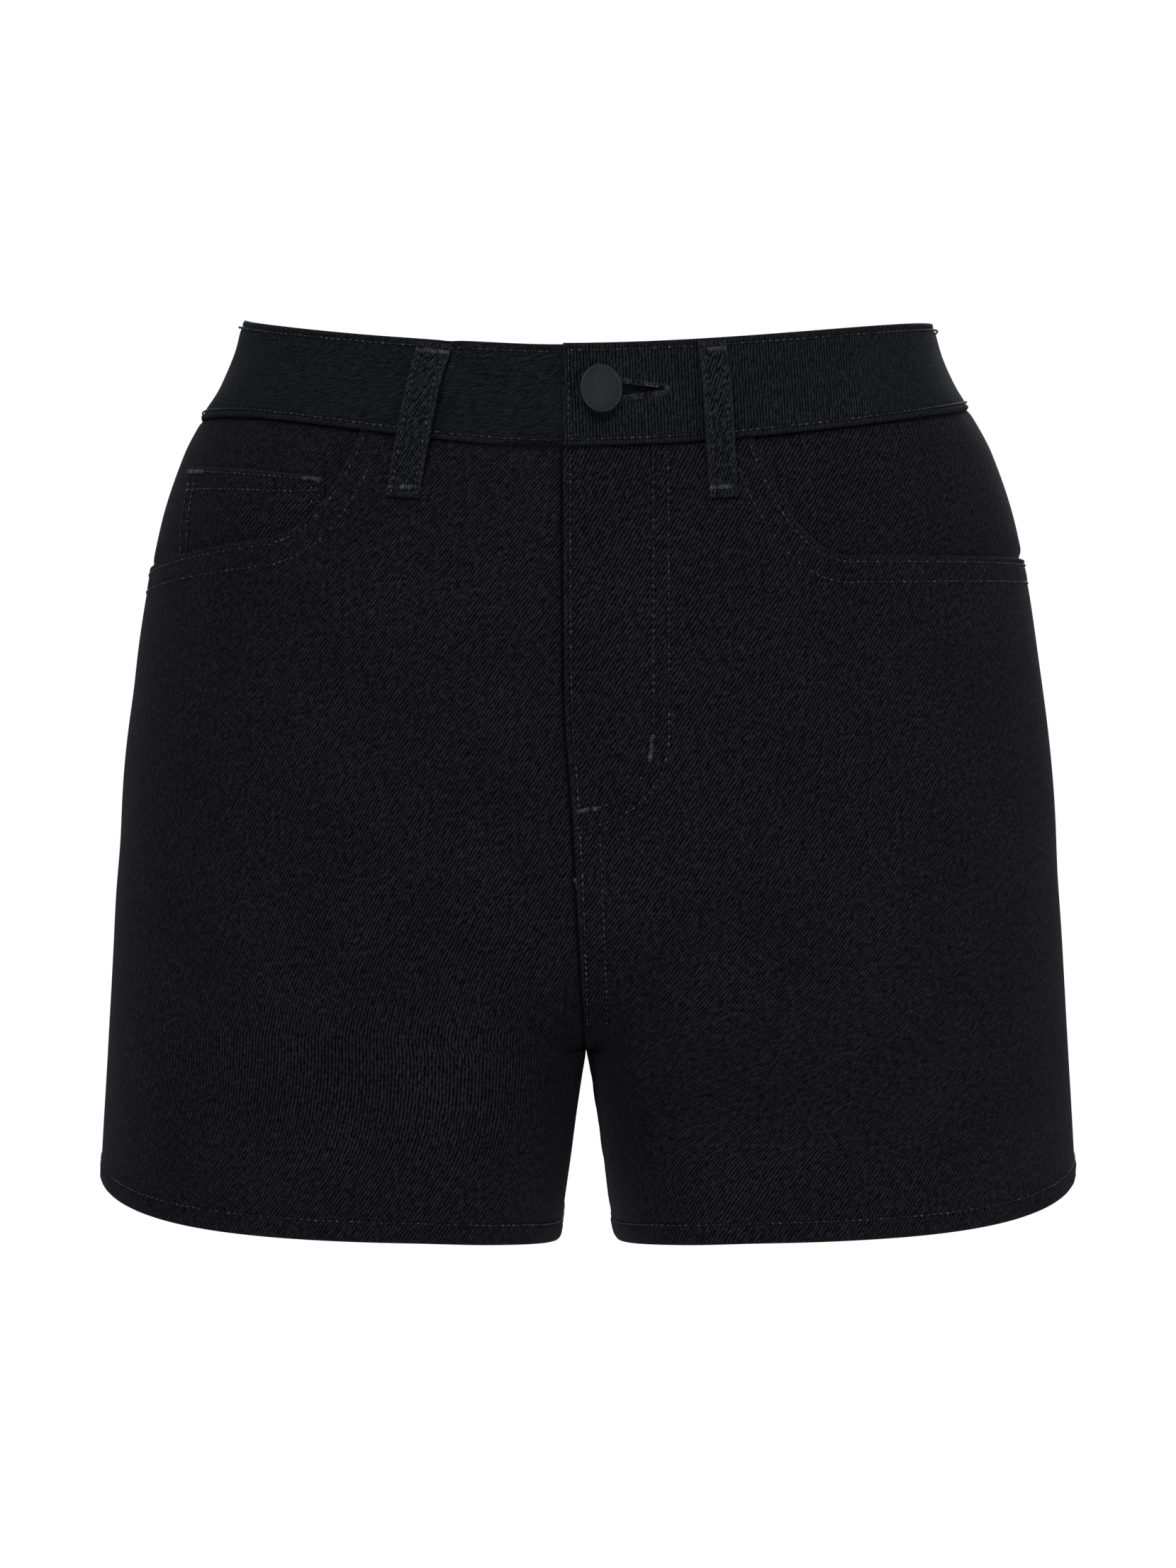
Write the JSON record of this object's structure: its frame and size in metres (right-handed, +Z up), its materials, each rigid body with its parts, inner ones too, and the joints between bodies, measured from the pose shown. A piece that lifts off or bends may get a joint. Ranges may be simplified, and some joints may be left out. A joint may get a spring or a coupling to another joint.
{
  "type": "denim shorts",
  "caption": "High-waisted black denim shorts, filled out with no wearer: waistband, button fly, scoop and back pockets, back yokes, belt loops and stitched leg hems.",
  "frame": {"origin": "middle of the waist, where the wearer holds the garment", "axes": "+Z up, the front faces -Y, +X is the wearer's left"},
  "size_m": [0.3652, 0.2332, 0.3422],
  "materials": {
    "denim": "black twill denim, matt, worn in",
    "waistband_denim": "black twill denim, matt, cut across",
    "loop_denim": "black twill denim, folded into a strip",
    "button_metal": "dark grey, satin"
  },
  "bodies": {
    "root": {"waistband": "waistband_denim", "front_left": "denim", "front_right": "denim", "pocket_facing_left": "denim", "pocket_facing_right": "denim", "coin_pocket": "denim", "fly_shield": "denim", "yoke_left": "denim", "yoke_right": "denim", "back_left": "denim", "back_right": "denim", "back_pocket_left": "denim", "back_pocket_right": "denim", "belt_loop_front_left": "loop_denim", "belt_loop_front_right": "loop_denim", "belt_loop_side_left": "loop_denim", "belt_loop_side_right": "loop_denim", "belt_loop_back": "loop_denim", "button": "button_metal", "button_tack": "button_metal"}
  },
  "joints": []
}
